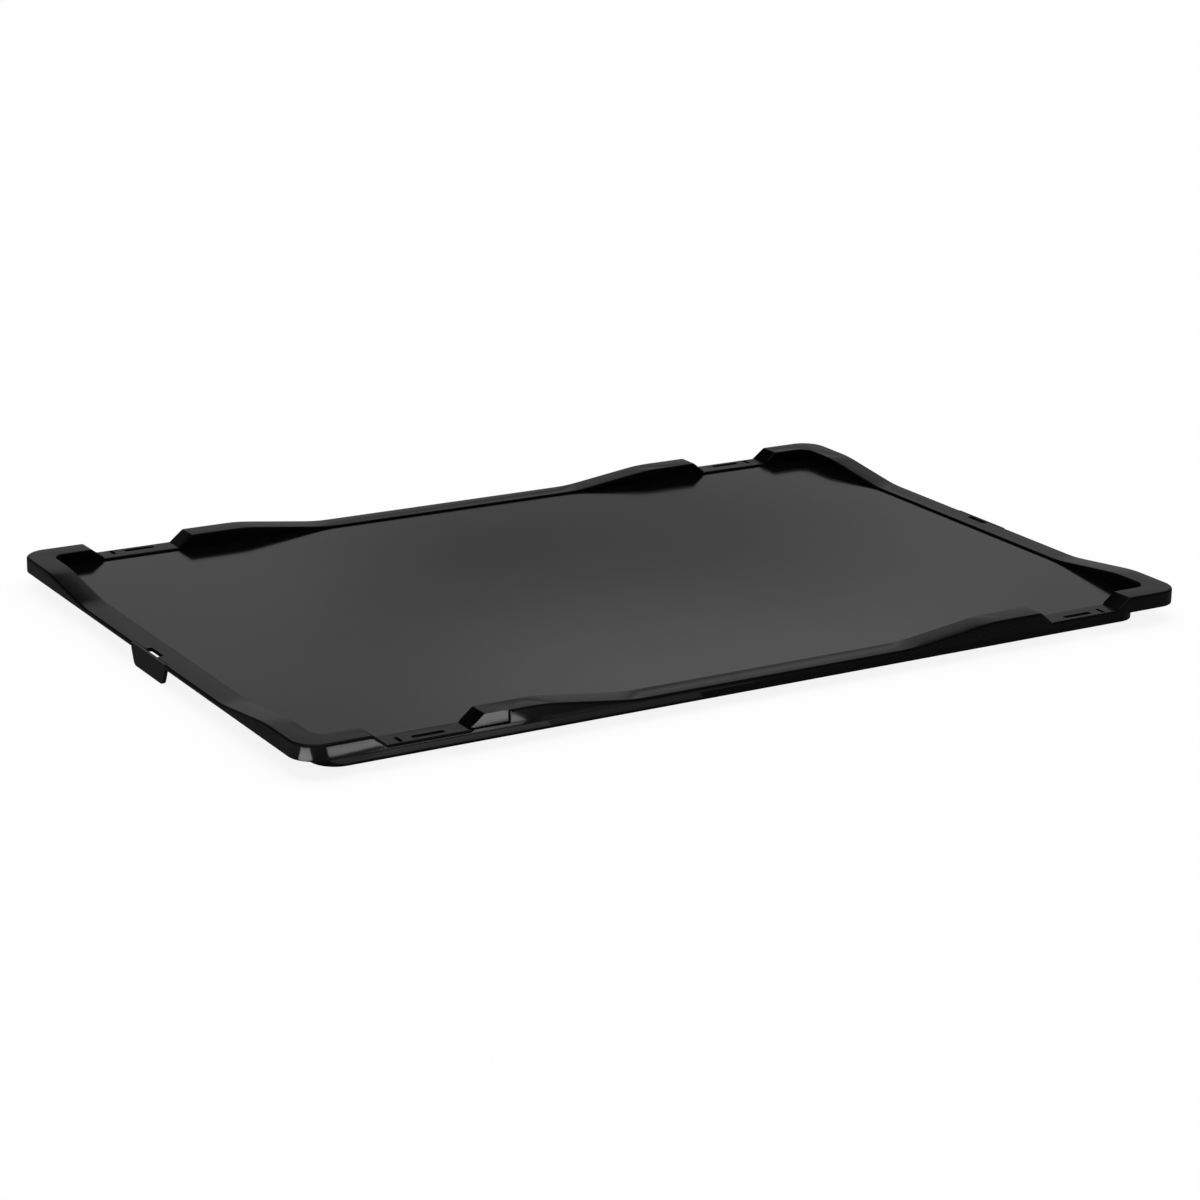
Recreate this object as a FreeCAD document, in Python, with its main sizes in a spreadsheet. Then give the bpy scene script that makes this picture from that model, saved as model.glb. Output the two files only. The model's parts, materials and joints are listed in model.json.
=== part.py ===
import FreeCAD, Part
import math
import os
import re

import Sketcher

# Stacking lid for a 600 x 400 mm transport container.
#
# One thin-walled moulding carries everything: a flat panel, a rim with hollow raised lands that
# locate the base of the next container, and a skirt below that drops inside the container's mouth.
# A snap latch hangs from the middle of each short side.
#
# Frame: origin at the centre of the footprint, on the plane that the skirt stands on. X runs along
# the long side, Y along the short side, Z up. The lid is modelled in the quarter where X and Y are
# positive, and is mirrored across both middle planes. Only a ledge in one side land breaks that
# symmetry, and is cut last.

# name, value in mm (angles in degrees), what it sets
SIZES = [
    ("lid_length", 600.0, "footprint along X"),
    ("lid_width", 400.0, "footprint along Y"),
    ("corner_radius", 16.0, "outer corner in plan"),
    ("skirt_drop", 11.0, "rim underside above the plane that the skirt stands on"),
    ("lip_thickness", 2.4, "rim plate, and roof of the raised lands"),
    ("wall_thickness", 2.4, "side walls of the raised lands"),
    ("rim_width", 16.0, "outer edge to the edge of the panel"),
    ("inner_radius", 8.0, "corner of the panel in plan"),
    ("panel_recess", 1.2, "panel top below the top of the low rim"),
    ("panel_thickness", 2.4, "flat panel"),
    ("corner_height", 6.9, "corner land above the low rim"),
    ("corner_reach", 42.0, "lid end to the end of the corner land's flat top"),
    ("steep_run", 9.0, "length of every steep end slope"),
    ("wave_start", 46.0, "long side to the start of the ramp on a short side"),
    ("wave_run", 56.0, "length of the ramp on a short side"),
    ("hump_height", 7.4, "side land above the low rim"),
    ("hump_start", 101.0, "lid end to the foot of the side land's steep end"),
    ("hump_reach", 148.0, "lid end to the start of the side land's ramp"),
    ("hump_run", 57.0, "length of the side land's ramp"),
    ("ramp_blend", 130.0, "radius at both ends of a ramp"),
    ("steep_blend", 2.5, "radius at both ends of a steep slope"),
    ("end_radius", 5.0, "corner in plan of a land's steep end"),
    ("outer_edge_radius", 1.5, "rounding along the outer top edges"),
    ("inner_edge_radius", 0.8, "rounding along the inner top edges"),
    ("step_reach", 125.0, "lid end to the step in the outer wall of one side land"),
    ("step_depth", 1.6, "set-back of the outer wall before that step"),
    ("step_radius", 1.2, "rounded edge of that step"),
    ("web_thickness", 1.8, "cross webs inside the side land"),
    ("skirt_inset_side", 15.0, "long side to the skirt"),
    ("skirt_inset_end", 19.5, "short side to the skirt"),
    ("skirt_wall", 2.2, "skirt"),
    ("skirt_radius", 15.0, "outer corner of the skirt in plan"),
    ("skirt_gap", 130.0, "opening of the skirt at the middle of a short side"),
    ("gusset_thickness", 1.8, "gussets between skirt and rim"),
    ("gusset_pitch", 50.0, "spacing of the gussets along a long side"),
    ("gusset_drop", 5.0, "height of a gusset on the skirt"),
    ("rib_depth", 4.0, "stiffening ribs below the panel"),
    ("rib_thickness", 1.8, "stiffening ribs"),
    ("rib_pitch", 60.0, "spacing of the stiffening ribs"),
    ("slot_reach", 78.0, "lid end to the middle of a side slot"),
    ("slot_length", 20.0, "side slot"),
    ("slot_width", 4.0, "side slot"),
    ("slot_inset", 6.0, "long side to the middle of a side slot and of a cross slot"),
    ("notch_reach", 60.0, "lid end to the middle of a cross slot"),
    ("notch_length", 8.0, "cross slot, across the rim"),
    ("notch_width", 2.6, "cross slot, along the rim"),
    ("slot_radius", 1.2, "corners of the slots and of the windows"),
    ("latch_width", 48.0, "latch at the rim"),
    ("latch_tip_width", 40.0, "latch at its lower edge"),
    ("latch_drop", 10.6, "latch below the rim underside"),
    ("latch_thickness", 2.2, "latch plate"),
    ("latch_corner", 4.0, "lower corners of the latch"),
    ("latch_gap", 0.3, "parting gap between latch and rim"),
    ("catch_width", 17.0, "catch on the latch's inner face"),
    ("catch_depth", 1.6, "catch on the latch's inner face"),
    ("catch_rise", 6.6, "rim underside to the holding face of the catch"),
    ("catch_height", 3.2, "catch from its holding face to its lead-in edge"),
    ("window_width", 17.4, "opening in the rim above the catch"),
    ("window_depth", 3.9, "opening in the rim above the catch"),
    ("margin", 1.0, "how far a cutting profile stands clear of what it cuts"),
]

doc = FreeCAD.newDocument("stacking_lid")
sheet = doc.addObject("Spreadsheet::Sheet", "sizes")
for row, (alias, size, meaning) in enumerate(SIZES, start=1):
    sheet.set(f"A{row}", alias)
    sheet.set(f"B{row}", str(size))
    sheet.setAlias(f"B{row}", alias)
    sheet.set(f"C{row}", meaning)
doc.recompute()

ALIAS = re.compile(r"\b(" + "|".join(alias for alias, _, _ in SIZES) + r")\b")

# Levels and lengths that several features share, as expressions on the sheet.
HALF_X = "lid_length / 2"
HALF_Y = "lid_width / 2"
RIM_BASE = "skirt_drop"
RIM_TOP = "(skirt_drop + lip_thickness)"
PANEL_TOP = f"({RIM_TOP} - panel_recess)"
PANEL_BASE = f"({PANEL_TOP} - panel_thickness)"
CORNER_TOP = f"({RIM_TOP} + corner_height)"
HUMP_TOP = f"({RIM_TOP} + hump_height)"
INNER_X = f"({HALF_X} - rim_width)"
INNER_Y = f"({HALF_Y} - rim_width)"
# A ramp's blends end well inside these stretches beyond it.
CORNER_TAIL = "(ramp_blend * corner_height / wave_run)"
HUMP_TAIL = "(ramp_blend * hump_height / hump_run)"
NEAR = 1e-4  # mm, points closer than this count as one


def on_sheet(expression):
    """The expression with each alias looked up in the sheet."""
    return ALIAS.sub(r"sizes.\1", str(expression))


def value(expression):
    """The number that an expression gives now."""
    return float(sheet.evalExpression(on_sheet(expression)))


def is_zero(expression):
    return str(expression) == "0"


class Sketch:
    """A sketch whose corners are pinned to expressions on the sheet."""

    AXES = {"XY": "XY_Plane", "XZ": "XZ_Plane", "YZ": "YZ_Plane"}

    def __init__(self, body, name, plane, offset):
        self.sketch = body.newObject("Sketcher::SketchObject", name)
        role = self.AXES[plane]
        origin_plane = next(item for item in body.Origin.OriginFeatures if item.Role == role)
        self.sketch.AttachmentSupport = [(origin_plane, "")]
        self.sketch.MapMode = "FlatFace"
        self.sketch.setExpression("AttachmentOffset.Base.z", on_sheet(offset))
        self.name = name

    def constrain(self, kind, *args, expression=None):
        index = self.sketch.addConstraint(Sketcher.Constraint(kind, *args))
        if expression is not None:
            self.sketch.setExpression(f"Constraints[{index}]", on_sheet(expression))

    def pin(self, geometry, point, x, y):
        """Hold a point at x, y, each an expression."""
        for kind, axis, expression in (("DistanceX", -2, x), ("DistanceY", -1, y)):
            if is_zero(expression):
                self.constrain("PointOnObject", geometry, point, axis)
            else:
                self.constrain(kind, -1, 1, geometry, point, value(expression), expression=expression)

    def outline(self, corners):
        """Close a wire through corners (x, y) or (x, y, radius)."""
        corners = [tuple(corner) + ("0",) * (3 - len(corner)) for corner in corners]
        count = len(corners)
        at = [FreeCAD.Vector(value(x), value(y), 0) for x, y, _ in corners]
        radii = [0.0 if is_zero(radius) else value(radius) for _, _, radius in corners]
        arcs = []
        leave, reach = [], []
        for i in range(count):
            before = (at[i] - at[i - 1]).normalize()
            after = (at[(i + 1) % count] - at[i]).normalize()
            turn = before.getAngle(after)
            left = before.cross(after).z > 0
            cut = radii[i] * math.tan(turn / 2)
            reach.append(at[i] - before * cut)
            leave.append(at[i] + after * cut)
            if radii[i]:
                side = FreeCAD.Vector(-before.y, before.x, 0) * (1 if left else -1)
                centre = reach[i] + side * radii[i]
                first, last = (reach[i], leave[i]) if left else (leave[i], reach[i])
                start = math.atan2(first.y - centre.y, first.x - centre.x)
                sweep = math.atan2(last.y - centre.y, last.x - centre.x) - start
                circle = Part.Circle(centre, FreeCAD.Vector(0, 0, 1), radii[i])
                arcs.append((Part.ArcOfCircle(circle, start, start + sweep % (2 * math.pi)), left))
            else:
                arcs.append(None)
        lines = [
            self.sketch.addGeometry(Part.LineSegment(leave[i], reach[(i + 1) % count]), False)
            for i in range(count)
        ]
        for i, (x, y, radius) in enumerate(corners):
            incoming, outgoing = lines[i - 1], lines[i]
            if arcs[i] is None:
                self.constrain("Coincident", incoming, 2, outgoing, 1)
                self.pin(outgoing, 1, x, y)
                continue
            corner = self.sketch.addGeometry(Part.Point(at[i]), True)
            self.pin(corner, 1, x, y)
            self.constrain("PointOnObject", corner, 1, incoming)
            self.constrain("PointOnObject", corner, 1, outgoing)
            arc, left = arcs[i]
            curve = self.sketch.addGeometry(arc, False)
            first, last = (1, 2) if left else (2, 1)
            self.constrain("Tangent", incoming, 2, curve, first)
            self.constrain("Tangent", outgoing, 1, curve, last)
            self.constrain("Radius", curve, radii[i], expression=radius)
        return self

    def rectangle(self, x_low, y_low, x_high, y_high, radius="0"):
        return self.outline([
            (x_low, y_low, radius), (x_high, y_low, radius),
            (x_high, y_high, radius), (x_low, y_high, radius),
        ])

    def solved(self):
        if self.sketch.solve() != 0:
            raise RuntimeError(f"the sketch {self.name} does not solve")
        return self.sketch


def extrude(body, kind, name, sketch, length, reverse=False):
    """A Pad or a Pocket of one length; a Pad follows the sketch's normal, a Pocket goes against it."""
    before = body.Tip.Shape.Volume if body.Tip else 0.0
    feature = body.newObject(f"PartDesign::{kind}", name)
    feature.Profile = sketch.solved()
    feature.setExpression("Length", on_sheet(length))
    feature.Reversed = reverse
    doc.recompute()
    added = feature.Shape.Volume - before
    if (added <= 0) if kind == "Pad" else (added >= 0):
        raise RuntimeError(f"{name} changed nothing")
    return feature


def flat(body, name, height):
    """A sketch in plan at a height; Pads go up from it, Pockets go down."""
    return Sketch(body, name, "XY", height)


def side(body, name, y):
    """A sketch of X and Z at a distance y; Pads go towards the middle, Pockets go outwards."""
    return Sketch(body, name, "XZ", f"-({y})")


def end(body, name, x):
    """A sketch of Y and Z at a distance x; Pads go outwards, Pockets go towards the middle."""
    return Sketch(body, name, "YZ", x)


def from_end(distance):
    """X at a distance from the lid's short side."""
    return f"{HALF_X} - ({distance})"


def from_side(distance):
    """Y at a distance from the lid's long side."""
    return f"{HALF_Y} - ({distance})"


def make_plate(body):
    """The rim plate, the recessed panel and the part of the panel that hangs below the rim plate."""
    plate = flat(body, "rim_plan", RIM_BASE)
    plate.outline([("0", "0"), (HALF_X, "0"), (HALF_X, HALF_Y, "corner_radius"), ("0", HALF_Y)])
    extrude(body, "Pad", "rim_plate", plate, "lip_thickness")

    panel = flat(body, "panel_plan", PANEL_BASE)
    panel.outline([
        ("0", "0"), (from_end("skirt_inset_end"), "0"),
        (from_end("skirt_inset_end"), from_side("skirt_inset_side"), "skirt_radius"),
        ("0", from_side("skirt_inset_side")),
    ])
    extrude(body, "Pad", "panel", panel, "panel_thickness")


def make_recess(body):
    recess = flat(body, "recess_plan", RIM_TOP)
    recess.outline([("0", "0"), (INNER_X, "0"), (INNER_X, INNER_Y, "inner_radius"), ("0", INNER_Y)])
    extrude(body, "Pocket", "panel_recess", recess, "panel_recess")


def make_corner_land(body):
    """An L of two arms: a steep slope ends the long side's arm, a ramp ends the short side's arm."""
    foot_x = from_end("corner_reach + steep_run")
    tail_x = from_end("corner_reach + steep_run + steep_blend")
    tail_y = from_side(f"wave_start + wave_run + {CORNER_TAIL}")
    plan = flat(body, "corner_plan", RIM_BASE)
    plan.outline([
        (tail_x, INNER_Y), (INNER_X, INNER_Y, "inner_radius"), (INNER_X, tail_y),
        (HALF_X, tail_y), (HALF_X, HALF_Y, "corner_radius"), (tail_x, HALF_Y),
    ])
    extrude(body, "Pad", "corner_land", plan, "lip_thickness + corner_height")

    above = f"{CORNER_TOP} + margin"
    slope = side(body, "corner_slope_profile", f"{INNER_Y} - margin")
    slope.outline([
        (from_end("corner_reach + steep_run * 2"), RIM_TOP),
        (foot_x, RIM_TOP, "steep_blend"),
        (from_end("corner_reach"), CORNER_TOP, "steep_blend"),
        (from_end("corner_reach - steep_run"), CORNER_TOP),
        (from_end("corner_reach - steep_run"), above),
        (from_end("corner_reach + steep_run * 2"), above),
    ])
    extrude(body, "Pocket", "corner_slope", slope, "rim_width + margin * 2")

    ramp = end(body, "corner_ramp_profile", f"{INNER_X} - margin")
    ramp.outline([
        (f"{tail_y} - margin", RIM_TOP),
        (from_side("wave_start + wave_run"), RIM_TOP, "ramp_blend"),
        (from_side("wave_start"), CORNER_TOP, "ramp_blend"),
        (from_side(f"wave_start - {CORNER_TAIL}"), CORNER_TOP),
        (from_side(f"wave_start - {CORNER_TAIL}"), above),
        (f"{tail_y} - margin", above),
    ])
    extrude(body, "Pocket", "corner_ramp", ramp, "rim_width + margin * 2", reverse=True)


def make_side_land(body):
    """A hump that is steep towards the corner and falls in a long ramp towards the middle."""
    tail_x = from_end(f"hump_reach + hump_run + {HUMP_TAIL}")
    plan = flat(body, "hump_plan", RIM_BASE)
    plan.rectangle(tail_x, INNER_Y, from_end("hump_start - steep_blend"), HALF_Y)
    extrude(body, "Pad", "side_land", plan, "lip_thickness + hump_height")

    above = f"{HUMP_TOP} + margin"
    profile = side(body, "hump_profile", f"{INNER_Y} - margin")
    profile.outline([
        (f"{tail_x} - margin", RIM_TOP),
        (from_end("hump_reach + hump_run"), RIM_TOP, "ramp_blend"),
        (from_end("hump_reach"), HUMP_TOP, "ramp_blend"),
        (from_end("hump_start + steep_run"), HUMP_TOP, "steep_blend"),
        (from_end("hump_start"), RIM_TOP, "steep_blend"),
        (from_end("hump_start - steep_run"), RIM_TOP),
        (from_end("hump_start - steep_run"), above),
        (f"{tail_x} - margin", above),
    ])
    extrude(body, "Pocket", "side_land_top", profile, "rim_width + margin * 2")


def on_outline(point, half_x, half_y, radius):
    """Whether a point lies on a rounded rectangle in plan, in the modelled quarter."""
    if point.x > half_x - radius and point.y > half_y - radius:
        reach = math.hypot(point.x - half_x + radius, point.y - half_y + radius)
        return abs(reach - radius) < NEAR
    return abs(point.x - half_x) < NEAR or abs(point.y - half_y) < NEAR


def round_top_edges(body):
    """Round the outer and the inner top edge of rim and lands, all the way round."""
    for name, half_x, half_y, corner in (
        ("outer_edge", HALF_X, HALF_Y, "corner_radius"),
        ("inner_edge", INNER_X, INNER_Y, "inner_radius"),
    ):
        line = value(half_x), value(half_y), value(corner)
        base = body.Tip
        names = []
        for index, edge in enumerate(base.Shape.Edges, start=1):
            points = edge.discretize(5)
            if min(point.z for point in points) < value(RIM_TOP) - NEAR:
                continue
            if all(on_outline(point, *line) for point in points):
                names.append(f"Edge{index}")
        rounding = body.newObject("PartDesign::Fillet", f"{name}_rounding")
        rounding.Base = (base, names)
        rounding.setExpression("Radius", on_sheet(f"{name}_radius"))
        doc.recompute()


def make_step(body):
    """The side land at -X and -Y starts with its outer wall set back, up to a ledge."""
    def opposite(x, y, *radius):
        return (f"0 - ({x})", f"0 - ({y})", *radius)

    plan = flat(body, "step_plan", f"{HUMP_TOP} + margin")
    step_x = from_end("step_reach")
    foot_x, clear_x = from_end("hump_start - steep_blend / 2"), from_end("hump_start - steep_blend")
    wall_y, end_y = from_side("step_depth"), from_side("step_depth + end_radius + margin")
    plan.outline([
        opposite(from_end("step_reach + step_radius * 2"), f"{HALF_Y} + margin"),
        opposite(from_end("step_reach + step_radius * 2"), HALF_Y),
        opposite(step_x, HALF_Y, "step_radius"), opposite(step_x, wall_y),
        opposite(foot_x, wall_y, "end_radius"), opposite(foot_x, end_y),
        opposite(clear_x, end_y), opposite(clear_x, f"{HALF_Y} + margin"),
    ])
    extrude(body, "Pocket", "step", plan, "hump_height + margin")


def make_round_ends(body):
    """The steep ends of the lands are rounded in plan."""
    plan = flat(body, "round_end_plan", f"{HUMP_TOP} + margin")
    reach = "(end_radius + margin)"
    for foot, sign, edge, out in (
        ("corner_reach + steep_run + steep_blend / 2", "-", INNER_Y, "-"),
        ("corner_reach + steep_run + steep_blend / 2", "-", HALF_Y, "+"),
        ("hump_start - steep_blend / 2", "+", INNER_Y, "-"),
        ("hump_start - steep_blend / 2", "+", HALF_Y, "+"),
    ):
        back = "+" if out == "-" else "-"
        away = "-" if sign == "+" else "+"
        along_x, clear_x = from_end(f"{foot} {sign} {reach}"), from_end(f"{foot} {away} margin")
        clear_y, along_y = f"{edge} {out} margin", f"{edge} {back} {reach}"
        plan.outline([
            (clear_x, clear_y), (along_x, clear_y), (along_x, edge),
            (from_end(foot), edge, "end_radius"), (from_end(foot), along_y), (clear_x, along_y),
        ])
    extrude(body, "Pocket", "round_ends", plan, "hump_height + margin")


def make_corner_hollow(body):
    """The corner land is hollow below: an L under its flat top and a wedge under its ramp."""
    plan = flat(body, "corner_hollow_plan", f"{CORNER_TOP} - lip_thickness")
    inner_x, inner_y = f"{INNER_X} + wall_thickness", f"{INNER_Y} + wall_thickness"
    outer_x, outer_y = from_end("wall_thickness"), from_side("wall_thickness")
    ramp_y = from_side("wave_start")
    plan.outline([
        (from_end("corner_reach"), inner_y), (inner_x, inner_y, "inner_radius - wall_thickness"),
        (inner_x, ramp_y), (outer_x, ramp_y), (outer_x, outer_y, "corner_radius - wall_thickness"),
        (from_end("corner_reach"), outer_y),
    ])
    extrude(body, "Pocket", "corner_hollow", plan, "corner_height")

    wedge = end(body, "corner_wedge_profile", outer_x)
    wedge.outline([
        (ramp_y, RIM_BASE), (ramp_y, f"{CORNER_TOP} - lip_thickness"),
        (from_side("wave_start + wave_run"), RIM_BASE),
    ])
    extrude(body, "Pocket", "corner_wedge", wedge, "rim_width - wall_thickness * 2")


def make_side_hollow(body):
    """The side land is hollow below, in bays between cross webs."""
    roof = f"{HUMP_TOP} - lip_thickness"
    steep_wall = "hump_start + steep_run + wall_thickness"
    narrow = side(body, "narrow_bay_profile", f"{INNER_Y} + wall_thickness")
    narrow.rectangle(
        from_end("step_reach"), RIM_BASE, from_end(steep_wall), roof,
    )
    extrude(body, "Pocket", "narrow_bay", narrow, "rim_width - wall_thickness * 2 - step_depth")

    wide = side(body, "wide_bay_profile", f"{INNER_Y} + wall_thickness")
    wide.rectangle(
        from_end("hump_reach"), RIM_BASE, from_end("step_reach + web_thickness + step_radius"), roof,
    )
    extrude(body, "Pocket", "wide_bay", wide, "rim_width - wall_thickness * 2")

    wedge = side(body, "side_wedge_profile", f"{INNER_Y} + wall_thickness")
    start = "web_thickness"
    wedge.outline([
        (from_end("hump_reach + hump_run"), RIM_BASE),
        (from_end(f"hump_reach + {start}"), RIM_BASE),
        (from_end(f"hump_reach + {start}"), f"{roof} - hump_height * {start} / hump_run"),
    ])
    extrude(body, "Pocket", "side_wedge", wedge, "rim_width - wall_thickness * 2")


def make_skirt(body):
    """The skirt drops inside the container's mouth, and is open at the middle of each short side."""
    skirt = flat(body, "skirt_plan", "0")
    outer_x, outer_y = from_end("skirt_inset_end"), from_side("skirt_inset_side")
    inner_x, inner_y = f"{outer_x} - skirt_wall", f"{outer_y} - skirt_wall"
    skirt.outline([
        ("0", outer_y), ("0", inner_y), (inner_x, inner_y, "skirt_radius - skirt_wall"),
        (inner_x, "skirt_gap / 2"), (outer_x, "skirt_gap / 2"), (outer_x, outer_y, "skirt_radius"),
    ])
    extrude(body, "Pad", "skirt", skirt, "skirt_drop")


def make_ribs(body):
    """A grid of shallow ribs stiffens the panel from below, inside the skirt."""
    base, height = f"{PANEL_BASE} - rib_depth", "rib_depth + panel_thickness / 2"
    half = "rib_thickness / 2"
    reach_x = from_end("skirt_inset_end + skirt_wall / 2")
    reach_y = from_side("skirt_inset_side + skirt_wall / 2")

    along = flat(body, "long_rib_plan", base)
    along.rectangle("0", "0", reach_x, half)
    for i in range(1, int(value(reach_y) // value("rib_pitch")) + 1):
        along.rectangle("0", f"rib_pitch * {i} - {half}", reach_x, f"rib_pitch * {i} + {half}")
    extrude(body, "Pad", "long_ribs", along, height)

    across = flat(body, "cross_rib_plan", base)
    across.rectangle("0", "0", half, reach_y)
    for i in range(1, int(value(reach_x) // value("rib_pitch")) + 1):
        across.rectangle(f"rib_pitch * {i} - {half}", "0", f"rib_pitch * {i} + {half}", reach_y)
    extrude(body, "Pad", "cross_ribs", across, height)


def make_gussets(body):
    """Small gussets on the skirt's outer face centre the container's wall."""
    count = int(value(f"({HALF_X} - corner_reach) / gusset_pitch"))
    profile = end(body, "gusset_profile", "gusset_pitch / 2 + gusset_thickness / 2")
    foot_y = from_side("skirt_inset_side + skirt_wall / 2")
    profile.outline([
        (foot_y, f"{RIM_BASE} + lip_thickness / 2"), (foot_y, f"{RIM_BASE} - gusset_drop"),
        (from_side("skirt_inset_side"), f"{RIM_BASE} - gusset_drop"),
        (from_side("skirt_inset_side - gusset_drop / 2"), f"{RIM_BASE}"),
        (from_side("skirt_inset_side - gusset_drop / 2"), f"{RIM_BASE} + lip_thickness / 2"),
    ])
    gusset = extrude(body, "Pad", "gusset", profile, "gusset_thickness", reverse=True)
    row = body.newObject("PartDesign::LinearPattern", "gusset_row")
    row.Originals = [gusset]
    x_axis = next(item for item in body.Origin.OriginFeatures if item.Role == "X_Axis")
    row.Direction = (x_axis, [""])
    row.Occurrences = count
    row.setExpression("Length", on_sheet(f"gusset_pitch * {count - 1}"))
    body.Tip = row
    doc.recompute()


def make_slots(body):
    """Openings through the low rim: a long and a cross slot near each corner, a window at each latch."""
    slots = flat(body, "slot_plan", RIM_TOP)
    slots.rectangle(
        from_end("slot_reach + slot_length / 2"), from_side("slot_inset + slot_width / 2"),
        from_end("slot_reach - slot_length / 2"), from_side("slot_inset - slot_width / 2"),
        "slot_radius",
    )
    slots.rectangle(
        from_end("notch_reach + notch_width / 2"), from_side("slot_inset + notch_length / 2"),
        from_end("notch_reach - notch_width / 2"), from_side("slot_inset - notch_length / 2"),
        "slot_radius",
    )
    extrude(body, "Pocket", "rim_slots", slots, "lip_thickness + margin")

    latch_depth = "latch_thickness + latch_gap"
    recess = flat(body, "latch_recess_plan", RIM_TOP)
    recess.outline([
        (from_end(f"{latch_depth} + window_depth"), "0"),
        (f"{HALF_X} + margin", "0"),
        (f"{HALF_X} + margin", "latch_width / 2 + latch_gap"),
        (from_end(latch_depth), "latch_width / 2 + latch_gap"),
        (from_end(latch_depth), "window_width / 2"),
        (from_end(f"{latch_depth} + window_depth"), "window_width / 2", "slot_radius"),
    ])
    extrude(body, "Pocket", "latch_recess", recess, "lip_thickness + margin")


def mirror_whole(body, name, role):
    mirror = body.newObject("PartDesign::Mirrored", name)
    plane = next(item for item in body.Origin.OriginFeatures if item.Role == role)
    mirror.MirrorPlane = (plane, [""])
    mirror.TransformMode = "Whole shape"
    body.Tip = mirror
    doc.recompute()
    return mirror


def make_lid():
    body = doc.addObject("PartDesign::Body", "lid")
    body.Label = "lid"
    make_plate(body)
    make_corner_land(body)
    make_side_land(body)
    make_recess(body)
    round_top_edges(body)
    make_round_ends(body)
    make_corner_hollow(body)
    make_side_hollow(body)
    make_skirt(body)
    make_ribs(body)
    make_gussets(body)
    make_slots(body)
    mirror_whole(body, "other_end", "YZ_Plane")
    mirror_whole(body, "other_side", "XZ_Plane")
    make_step(body)
    return body


def make_latch(label, turn):
    """A tapered plate with a wedge-shaped catch; its frame is at its root on the lid's short side."""
    body = doc.addObject("PartDesign::Body", label)
    body.Label = label
    plate = end(body, f"{label}_plan", "0 - latch_thickness")
    top, tip = "lip_thickness", "0 - latch_drop"
    half, half_tip = "latch_width / 2", "latch_tip_width / 2"
    plate.outline([
        (half, top), (f"0 - ({half})", top), (f"0 - ({half})", "0 - lip_thickness / 2"),
        (f"0 - ({half_tip})", tip, "latch_corner"), (half_tip, tip, "latch_corner"),
        (half, "0 - lip_thickness / 2"),
    ])
    extrude(body, "Pad", f"{label}_plate", plate, "latch_thickness")
    catch = side(body, f"{label}_catch_profile", "catch_width / 2")
    catch.outline([
        ("0 - latch_thickness / 2", "0 - catch_rise"),
        ("0 - latch_thickness - catch_depth", "0 - catch_rise"),
        ("0 - latch_thickness", "0 - catch_rise - catch_height"),
        ("0 - latch_thickness / 2", "0 - catch_rise - catch_height"),
    ])
    extrude(body, "Pad", f"{label}_catch", catch, "catch_width")
    body.setExpression("Placement.Base.x", on_sheet(f"{HALF_X} * {math.cos(math.radians(turn)):.0f}"))
    body.setExpression("Placement.Base.z", on_sheet(RIM_BASE))
    body.Placement.Rotation = FreeCAD.Rotation(FreeCAD.Vector(0, 0, 1), turn)
    return body


def check_document():
    for item in doc.Objects:
        if "Invalid" in item.State or "Error" in item.State:
            raise RuntimeError(f"{item.Label} failed: {item.State}")


def export(bodies):
    os.makedirs("parts", exist_ok=True)
    for body in bodies:
        shape = body.Shape
        if shape.isNull() or not shape.isValid() or len(shape.Solids) != 1:
            raise RuntimeError(f"{body.Label} is not one valid solid")
        shape.exportStep(f"parts/{body.Label}.step")
        box = shape.BoundBox
        print(f"{body.Label}: {shape.Volume / 1000:.1f} cm3, {len(shape.Faces)} faces, "
              f"x {box.XMin:.2f}..{box.XMax:.2f}, y {box.YMin:.2f}..{box.YMax:.2f}, "
              f"z {box.ZMin:.2f}..{box.ZMax:.2f}")


bodies = [make_lid(), make_latch("right_latch", 0), make_latch("left_latch", 180)]
doc.recompute()
check_document()
export(bodies)
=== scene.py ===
# Looks of the stacking lid: its moulding, its two latches and a plain studio round them.
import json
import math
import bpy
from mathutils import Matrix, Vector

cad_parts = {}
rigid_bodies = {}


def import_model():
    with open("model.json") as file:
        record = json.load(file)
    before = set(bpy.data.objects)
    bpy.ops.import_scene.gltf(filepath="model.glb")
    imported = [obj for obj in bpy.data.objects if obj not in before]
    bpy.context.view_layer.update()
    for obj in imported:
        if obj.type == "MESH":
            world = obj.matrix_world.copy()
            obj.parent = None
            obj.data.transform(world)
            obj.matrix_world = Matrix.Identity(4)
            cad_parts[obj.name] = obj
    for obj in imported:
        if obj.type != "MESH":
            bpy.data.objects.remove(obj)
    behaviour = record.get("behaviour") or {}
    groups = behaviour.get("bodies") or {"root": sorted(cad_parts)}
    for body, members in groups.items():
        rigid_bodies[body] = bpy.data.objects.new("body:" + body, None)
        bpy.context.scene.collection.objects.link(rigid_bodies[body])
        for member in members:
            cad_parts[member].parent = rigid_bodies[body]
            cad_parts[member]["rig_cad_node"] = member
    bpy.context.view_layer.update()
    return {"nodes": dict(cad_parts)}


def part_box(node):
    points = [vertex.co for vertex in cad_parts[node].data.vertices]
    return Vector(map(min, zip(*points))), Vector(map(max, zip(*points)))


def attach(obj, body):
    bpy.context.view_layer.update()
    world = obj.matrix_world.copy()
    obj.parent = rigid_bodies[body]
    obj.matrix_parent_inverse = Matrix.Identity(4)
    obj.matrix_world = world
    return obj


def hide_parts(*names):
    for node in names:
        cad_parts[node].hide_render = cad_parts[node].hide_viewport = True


bl_info = {
    "name": "Stacking lid",
    "version": (1, 0, 0),
    "blender": (4, 5, 0),
    "location": "View3D > Sidebar > Stacking lid",
    "description": "Finishes the moulded stacking lid and its latches, and sets up the studio",
    "category": "Object",
}

import bpy
from mathutils import Quaternion, Vector

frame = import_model()
LID_LOW, LID_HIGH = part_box("lid")

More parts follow.
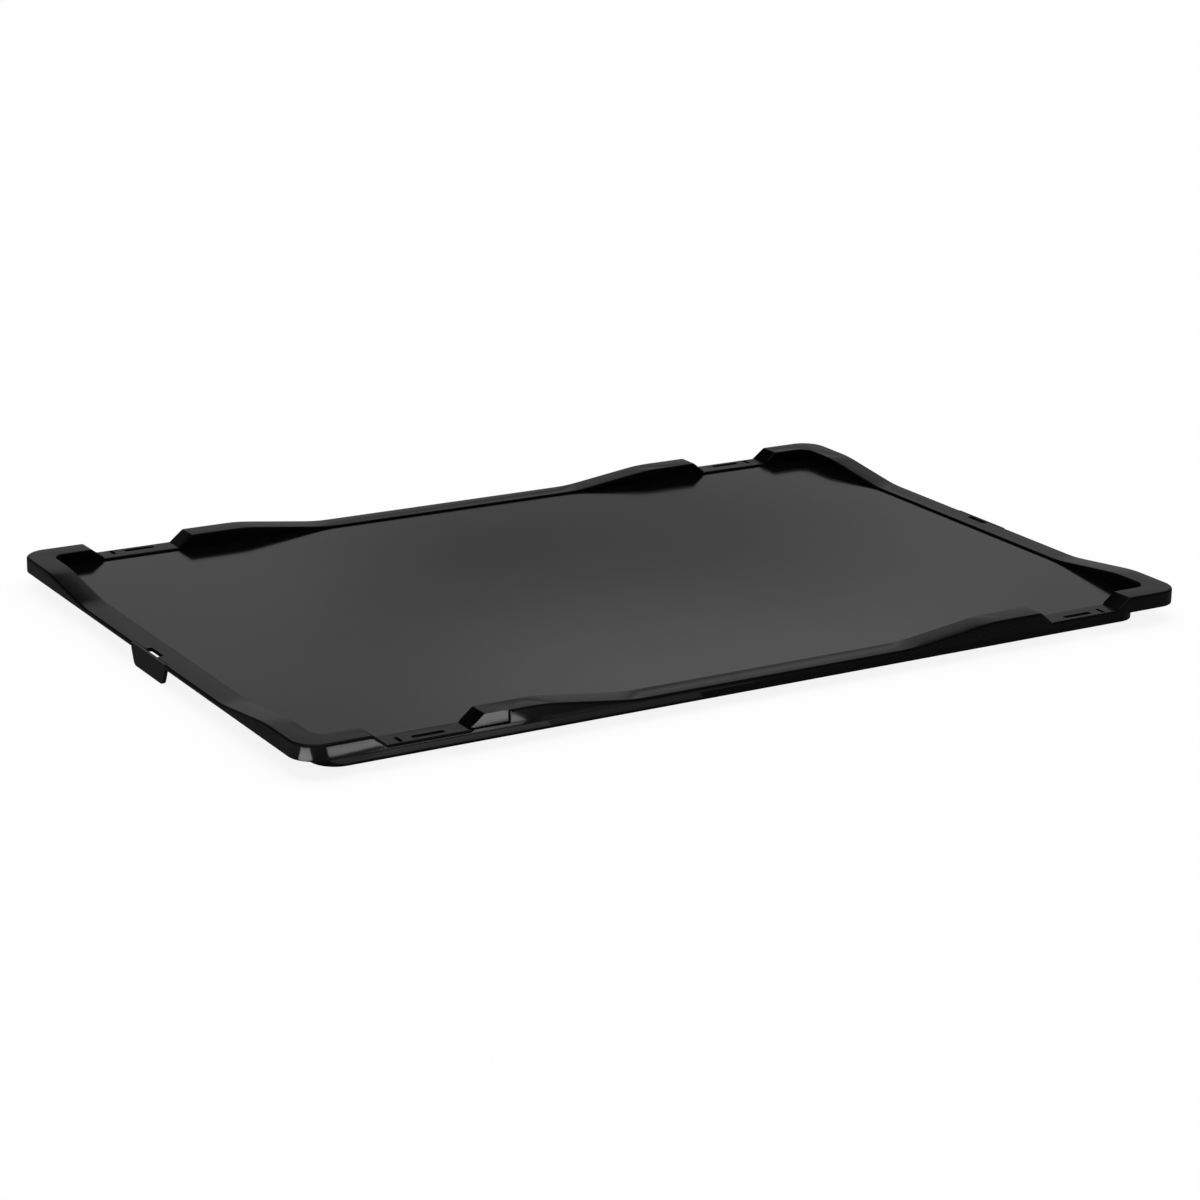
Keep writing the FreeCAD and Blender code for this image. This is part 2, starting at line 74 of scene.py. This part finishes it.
MM = 0.001
RIM_ZONE = 17 * MM  # from the outer edge, with the rim's polish
ZONE_EDGE = 1 * MM  # inside that, where the panel's polish fades in

# A CAD node's loose triangles become one clean mesh.
SAME_POINT = 0.001 * MM  # points closer than this count as one
FLAT_TURN = math.radians(0.5)  # triangles that turn by less than this are one face

# The moulding's texture.
CLOUDS_PER_METRE = 9.0
CLOUD_LIFT = 1.5  # the plastic's colour in a cloud, as a multiple of its colour outside
NOISE_MEAN = 0.5  # of clouds and grain
GRAIN_HEIGHT = 0.02 * MM
GRAIN_BUMP = 0.1  # how strongly that height tilts the surface
BODY_ROUGHNESS = 0.6  # of the plastic below the polish

# Where a face stops being a side and becomes a top, by the upward part of its normal.
SIDE_TO_TOP = (0.93, 0.985)

# Sockets that share their names with others and are known by their numbers.
MIX_COLOURS, MIX_RESULT = (6, 7), 2
MIX_SHADERS = (1, 2)

# Heights in degrees between which one part of the surroundings fades into the next.
WALL_TOP = (27, 30)
GAP_TOP = (40, 46)
DOME_FOOT = (60, 68)

# The gap lies behind the lid. Both fades are parts of a direction of length 1.
GAP_FRONT = (0, 0.4)  # towards +Y, where the gap fades in
GAP_EDGE = (0.5, 0.72)  # sideways from its middle, where it fades out
GAP_AZIMUTH = math.radians(15)  # of its middle, from +Y to +X

# Soft patches on the wall behind the lid: azimuth from +Y to +X, elevation, half width, half height
# (radians) and strength.
PATCHES = (
    (0.555, 0.295, 0.12, 0.034, -0.42),
    (0.585, 0.328, 0.12, 0.030, 0.55),
)

# Flat light panels on the floor along the sides at -X and -Y, for the sheen on upright faces: centre
# from the lid's corner there, size (mm), turn (degrees) and strength. The last two lie below the rim.
FLOOR_LIGHTS = (
    ((90.5, -45), (121, 26), 0, 61),
    ((-34, -13.5), (32, 38), 25, 80),
    ((230, -22), (140, 20), 0, 3.5),
    ((85, 9), (150, 10), 0, 6),
    ((210, 9), (100, 10), 0, 2.5),
)
FLOOR_LIGHT_HEIGHT = 1 * MM
FLOOR_LIGHT_SPREAD = math.radians(160)  # keeps it off faces that see it edge on
BACKDROP_SIDES = 128


class Finish(bpy.types.PropertyGroup):
    """The black moulded plastic."""

    colour: bpy.props.FloatVectorProperty(
        name="Colour", description="Colour of the plastic", subtype="COLOR", size=3,
        min=0, max=1, default=(0.001, 0.001, 0.00105),
    )
    panel_polish: bpy.props.FloatProperty(
        name="Panel polish", description="Strength of the reflection in the panel",
        subtype="FACTOR", min=0, max=1, default=0.6,
    )
    rim_polish: bpy.props.FloatProperty(
        name="Rim polish", description="Strength of the reflection in the tops of rim and lands",
        subtype="FACTOR", min=0, max=1, default=0.4,
    )
    side_polish: bpy.props.FloatProperty(
        name="Side polish", description="Strength of the reflection in upright faces",
        subtype="FACTOR", min=0, max=1, default=0.08,
    )
    roughness: bpy.props.FloatProperty(
        name="Roughness", description="Roughness of the polish",
        subtype="FACTOR", min=0, max=1, default=0.12,
    )
    grain: bpy.props.FloatProperty(
        name="Grain", description="Size of the fine grain left by the tool",
        unit="LENGTH", min=0.05 * MM, default=0.6 * MM,
    )
    grain_depth: bpy.props.FloatProperty(
        name="Grain depth", description="How much the grain breaks up the reflection",
        subtype="FACTOR", min=0, max=1, default=0.35,
    )
    cloud_depth: bpy.props.FloatProperty(
        name="Cloud depth", description="How much broad, soft clouds change the reflection",
        subtype="FACTOR", min=0, max=1, default=0.1,
    )


class Moulding(bpy.types.PropertyGroup):
    """How the moulded shapes are finished."""

    edge: bpy.props.FloatProperty(
        name="Edge", description="Width of the softened edges",
        unit="LENGTH", min=0, default=0.25 * MM,
    )
    edge_angle: bpy.props.FloatProperty(
        name="Edge angle", description="Edges that turn by more than this are softened",
        subtype="ANGLE", default=math.radians(28),
    )
    edge_steps: bpy.props.IntProperty(
        name="Edge steps", description="Faces across a softened edge", min=1, default=2,
    )


class Studio(bpy.types.PropertyGroup):
    """The pale floor and backdrop, the light and the camera."""

    floor_size: bpy.props.FloatProperty(
        name="Floor", description="Side of the square floor", unit="LENGTH", default=60,
    )
    floor_colour: bpy.props.FloatVectorProperty(
        name="Floor colour", description="Colour of floor and backdrop", subtype="COLOR", size=3,
        min=0, max=1, default=(0.97, 0.97, 0.97),
    )
    floor_lift: bpy.props.FloatProperty(
        name="Floor lift", description="Share of the floor that looks white in any shadow",
        subtype="FACTOR", min=0, max=1, default=0.88,
    )
    backdrop_height: bpy.props.FloatProperty(
        name="Backdrop", description="Height of the white backdrop round the floor",
        unit="LENGTH", default=5.8,
    )
    dome: bpy.props.FloatProperty(
        name="Dome", description="Brightness of the light from above", min=0, default=3.0,
    )
    wall: bpy.props.FloatProperty(
        name="Wall", description="Brightness of the low light all round", min=0, default=0.56,
    )
    side: bpy.props.FloatProperty(
        name="Side", description="Brightness between wall and dome", min=0, default=0.5,
    )
    gap: bpy.props.FloatProperty(
        name="Gap", description="Brightness between wall and dome behind the lid",
        min=0, default=0.05,
    )
    distance: bpy.props.FloatProperty(
        name="Distance", description="Camera to the point that it looks at",
        unit="LENGTH", default=1.925,
    )
    azimuth: bpy.props.FloatProperty(
        name="Azimuth", description="Camera's direction round the lid",
        subtype="ANGLE", default=math.radians(-31.46),
    )
    elevation: bpy.props.FloatProperty(
        name="Elevation", description="Camera's height above the horizon",
        subtype="ANGLE", default=math.radians(17.61),
    )
    roll: bpy.props.FloatProperty(
        name="Roll", description="Camera's turn about its own line of sight",
        subtype="ANGLE", default=math.radians(1.14),
    )
    look_at: bpy.props.FloatVectorProperty(
        name="Look at", description="Point that the camera looks at",
        subtype="TRANSLATION", size=3, default=(-0.0144, -0.0278, 0.011),
    )
    lens: bpy.props.FloatProperty(
        name="Lens", description="Focal length in mm on a 36 mm sensor",
        unit="CAMERA", default=94.67,
    )


class Wire:
    """A node's output as a value: arithmetic on it adds Math nodes."""

    def __init__(self, graph, socket):
        self.graph = graph
        self.socket = socket

    def math(self, operation, *values):
        return self.graph.add("ShaderNodeMath", dict(enumerate(values)), operation=operation)

    def __add__(self, other):
        return self.math("ADD", self, other)

    def __sub__(self, other):
        return self.math("SUBTRACT", self, other)

    def __rsub__(self, other):
        return self.math("SUBTRACT", other, self)

    def __mul__(self, other):
        return self.math("MULTIPLY", self, other)

    def __abs__(self):
        return self.math("ABSOLUTE", self)

    __radd__ = __add__
    __rmul__ = __mul__

    def between(self, low, high):
        """0 at low, 1 at high, eased between them."""
        return self.graph.add(
            "ShaderNodeMapRange",
            {"Value": self, "From Min": low, "From Max": high},
            interpolation_type="SMOOTHSTEP",
        )


class Graph:
    """A node tree, and the one method that adds nodes to it."""

    def __init__(self, owner):
        owner.use_nodes = True
        self.tree = owner.node_tree
        self.tree.nodes.clear()

    def add(self, kind, inputs=(), output=0, **settings):
        """Adds a node, settings first, then the values or links of its sockets."""
        node = self.tree.nodes.new(kind)
        for name, setting in settings.items():
            setattr(node, name, setting)
        for name, given in dict(inputs).items():
            if isinstance(given, Wire):
                self.tree.links.new(given.socket, node.inputs[name])
            else:
                node.inputs[name].default_value = given
        return Wire(self, node.outputs[output]) if node.outputs else node

    def split(self, vector):
        """The three parts of a vector."""
        first = self.add("ShaderNodeSeparateXYZ", {"Vector": vector})
        return [Wire(self, socket) for socket in first.socket.node.outputs]

    def noise(self, place, scale, detail, roughness):
        """Soft random spots, as many in a metre as the scale says."""
        sockets = {"Vector": place, "Scale": scale, "Detail": detail, "Roughness": roughness}
        return self.add("ShaderNodeTexNoise", sockets)


def moulded_plastic(finish):
    """Black polypropylene, polished on its upward faces and dull on its upright ones."""
    material = bpy.data.materials.new("moulded_plastic")
    graph = Graph(material)
    place = graph.add("ShaderNodeTexCoord", output="Object")
    x, y, _ = graph.split(place)
    _, _, facing = graph.split(graph.add("ShaderNodeNewGeometry", output="Normal"))
    upward = facing.between(*SIDE_TO_TOP)
    edge_x, edge_y = LID_HIGH.x - RIM_ZONE, LID_HIGH.y - RIM_ZONE
    inside_x = abs(x).between(edge_x, edge_x - ZONE_EDGE)
    inside_y = abs(y).between(edge_y, edge_y - ZONE_EDGE)

    cloud = graph.noise(place, CLOUDS_PER_METRE, detail=3.0, roughness=0.5)
    grain = graph.noise(place, 1 / finish.grain, detail=2.0, roughness=0.6)
    top_polish = finish.rim_polish + inside_x * inside_y * (finish.panel_polish - finish.rim_polish)
    polish = finish.side_polish + upward * (top_polish - finish.side_polish)
    clouding = (cloud - NOISE_MEAN) * finish.cloud_depth
    graining = (grain - NOISE_MEAN) * finish.grain_depth
    shades = [(*[share * part for part in finish.colour], 1) for share in (1, CLOUD_LIFT)]
    tone = graph.add(
        "ShaderNodeMix", {"Factor": cloud, **dict(zip(MIX_COLOURS, shades))},
        output=MIX_RESULT, data_type="RGBA",
    )
    bump = graph.add(
        "ShaderNodeBump", {"Strength": GRAIN_BUMP, "Distance": GRAIN_HEIGHT, "Height": grain}
    )
    surface = graph.add(
        "ShaderNodeBsdfPrincipled",
        {
            "Base Color": tone, "Roughness": BODY_ROUGHNESS, "Normal": bump,
            "Specular IOR Level": 0.0,  # the polish alone reflects
            "Coat Weight": polish * (1 + clouding + graining), "Coat Roughness": finish.roughness,
        },
    )
    graph.add("ShaderNodeOutputMaterial", {"Surface": surface})
    return material


def matt_white(name, colour, lift, mirrored=None):
    """A matt pale surface that looks white by a share, and in mirrors can be less bright."""
    material = bpy.data.materials.new(name)
    graph = Graph(material)
    matt = graph.add("ShaderNodeBsdfDiffuse", {"Color": (*colour, 1), "Roughness": 0.0})
    camera = graph.add("ShaderNodeLightPath", output="Is Camera Ray")
    strength = 1.0 if mirrored is None else mirrored + camera * (1 - mirrored)
    white = graph.add("ShaderNodeEmission", {"Color": (1, 1, 1, 1), "Strength": strength})
    seen = camera
    for ray in ("Is Glossy Ray", "Is Transmission Ray"):
        seen = seen.math("MAXIMUM", seen, graph.add("ShaderNodeLightPath", output=ray))
    surface = graph.add(
        "ShaderNodeMixShader", {"Fac": seen * lift, **dict(zip(MIX_SHADERS, (matt, white)))}
    )
    graph.add("ShaderNodeOutputMaterial", {"Surface": surface})
    return material


def surroundings(studio):
    """Light from above, a darker gap below it and a pale wall, with soft patches on the wall."""
    world = bpy.data.worlds.new("studio")
    graph = Graph(world)
    x, y, z = graph.split(graph.add("ShaderNodeTexCoord", output="Generated"))
    above_wall, above_gap, in_dome = (
        z.between(*(math.sin(math.radians(height)) for height in fade))
        for fade in (WALL_TOP, GAP_TOP, DOME_FOOT)
    )
    beside_gap = abs(x * math.cos(GAP_AZIMUTH) - y * math.sin(GAP_AZIMUTH)).between(*GAP_EDGE)
    behind = y.between(*GAP_FRONT) * (1 - above_gap) * (1 - beside_gap)
    gap = studio.side + behind * (studio.gap - studio.side)
    light = studio.wall + above_wall * (gap - studio.wall) + in_dome * (studio.dome - gap)
    for azimuth, elevation, width, height, strength in PATCHES:
        across = x * math.cos(azimuth) - y * math.sin(azimuth)
        up = z - math.sin(elevation)
        offset = across * across * width**-2 + up * up * height**-2
        light = light + offset.between(1, 0) * strength
    sky = graph.add("ShaderNodeBackground", {"Color": (1, 1, 1, 1), "Strength": light})
    graph.add("ShaderNodeOutputWorld", {"Surface": sky})
    return world


def only(piece):
    """Selects one object and nothing else."""
    bpy.ops.object.select_all(action="DESELECT")
    piece.select_set(True)
    bpy.context.view_layer.objects.active = piece


def softened(node, name, settings, material):
    """A CAD node's shape in one closed mesh of one material, with softened edges."""
    only(frame["nodes"][node])
    bpy.ops.object.duplicate()
    piece = bpy.context.active_object
    piece.name = piece.data.name = name
    del piece["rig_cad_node"]
    bpy.ops.mesh.customdata_custom_splitnormals_clear()
    bpy.ops.object.mode_set(mode="EDIT")
    bpy.ops.mesh.select_all(action="SELECT")
    bpy.ops.mesh.remove_doubles(threshold=SAME_POINT)
    bpy.ops.mesh.mark_sharp(clear=True)
    bpy.ops.mesh.dissolve_limited(angle_limit=FLAT_TURN)
    bpy.ops.object.mode_set(mode="OBJECT")
    bevel = piece.modifiers.new("edges", "BEVEL")
    bevel.width = settings.edge
    bevel.segments = settings.edge_steps
    bevel.angle_limit = settings.edge_angle
    bevel.harden_normals = True
    bpy.ops.object.shade_smooth()
    bpy.ops.object.modifier_apply(modifier=bevel.name)
    piece.data.materials.clear()
    piece.data.materials.append(material)
    return piece


def add_floor(studio):
    bpy.ops.mesh.primitive_plane_add(size=studio.floor_size, location=(0, 0, LID_LOW.z))
    floor = bpy.context.active_object
    floor.name = "floor"
    floor.data.materials.append(matt_white("floor", studio.floor_colour, studio.floor_lift))


def add_backdrop(studio):
    """A round wall that looks white, but in mirrors is no brighter than the low light all round."""
    bpy.ops.mesh.primitive_cylinder_add(
        vertices=BACKDROP_SIDES, radius=studio.floor_size / 2, depth=studio.backdrop_height,
        end_fill_type="NOTHING", location=(0, 0, LID_LOW.z + studio.backdrop_height / 2),
    )
    backdrop = bpy.context.active_object
    backdrop.name = "backdrop"
    backdrop.data.materials.append(
        matt_white("backdrop", studio.floor_colour, lift=1.0, mirrored=studio.wall)
    )


def add_floor_lights():
    for (along, across), (length, width), turn, strength in FLOOR_LIGHTS:
        bpy.ops.object.light_add(
            type="AREA", rotation=(math.pi, 0, math.radians(turn)),
            location=LID_LOW + Vector((along * MM, across * MM, FLOOR_LIGHT_HEIGHT)),
        )
        light = bpy.context.active_object
        light.name = "floor_light"
        light.data.shape = "RECTANGLE"
        light.data.size = length * MM
        light.data.size_y = width * MM
        light.data.spread = FLOOR_LIGHT_SPREAD
        light.data.energy = strength * math.pi * light.data.size * light.data.size_y
        light.visible_camera = False


def add_camera(studio):
    towards = Vector((0, math.cos(studio.elevation), -math.sin(studio.elevation)))
    towards.rotate(Quaternion((0, 0, 1), studio.azimuth))
    turn = towards.to_track_quat("-Z", "Y") @ Quaternion((0, 0, 1), studio.roll)
    bpy.ops.object.camera_add(
        location=Vector(studio.look_at) - towards * studio.distance, rotation=turn.to_euler()
    )
    camera = bpy.context.active_object
    camera.name = "camera"
    camera.data.lens = studio.lens
    bpy.context.scene.camera = camera


class LID_OT_moulding(bpy.types.Operator):
    """Makes the lid's moulding with softened edges and its plastic"""

    bl_idname = "lid.moulding"
    bl_label = "Lid moulding"

    def execute(self, context):
        scene = context.scene
        material = moulded_plastic(scene.lid_finish)
        piece = softened("lid", "lid_moulding", scene.lid_moulding, material)
        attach(piece, "lid")
        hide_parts("lid")
        return {"FINISHED"}


class LID_OT_latches(bpy.types.Operator):
    """Makes the two snap latches with softened edges, in the moulding's plastic"""

    bl_idname = "lid.latches"
    bl_label = "Latches"

    def execute(self, context):
        scene = context.scene
        material = bpy.data.materials["moulded_plastic"]
        for node in ("left_latch", "right_latch"):
            piece = softened(node, f"{node}_moulding", scene.lid_moulding, material)
            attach(piece, node)
            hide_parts(node)
        return {"FINISHED"}


class LID_OT_studio(bpy.types.Operator):
    """Makes the pale floor and backdrop, the light and the camera"""

    bl_idname = "lid.studio"
    bl_label = "Studio"

    def execute(self, context):
        scene = context.scene
        studio = scene.lid_studio
        add_floor(studio)
        add_backdrop(studio)
        scene.world = surroundings(studio)
        add_floor_lights()
        add_camera(studio)
        scene.view_settings.view_transform = "Standard"
        return {"FINISHED"}


class LID_PT_panel(bpy.types.Panel):
    """Lists the steps and their settings"""

    bl_idname = "LID_PT_panel"
    bl_label = "Stacking lid"
    bl_space_type = "VIEW_3D"
    bl_region_type = "UI"
    bl_category = "Stacking lid"

    def draw(self, context):
        scene = context.scene
        for group in (scene.lid_finish, scene.lid_moulding, scene.lid_studio):
            box = self.layout.box()
            for name in group.__annotations__:
                box.prop(group, name)
        for operator in (LID_OT_moulding, LID_OT_latches, LID_OT_studio):
            self.layout.operator(operator.bl_idname)


CLASSES = (
    Finish, Moulding, Studio, LID_OT_moulding, LID_OT_latches, LID_OT_studio, LID_PT_panel,
)


def register():
    for cls in CLASSES:
        bpy.utils.register_class(cls)
    bpy.types.Scene.lid_finish = bpy.props.PointerProperty(type=Finish)
    bpy.types.Scene.lid_moulding = bpy.props.PointerProperty(type=Moulding)
    bpy.types.Scene.lid_studio = bpy.props.PointerProperty(type=Studio)


def unregister():
    del bpy.types.Scene.lid_studio
    del bpy.types.Scene.lid_moulding
    del bpy.types.Scene.lid_finish
    for cls in reversed(CLASSES):
        bpy.utils.unregister_class(cls)


def main():
    register()
    bpy.ops.lid.studio()
    bpy.ops.lid.moulding()
    bpy.ops.lid.latches()


if __name__ == "__main__":
    main()
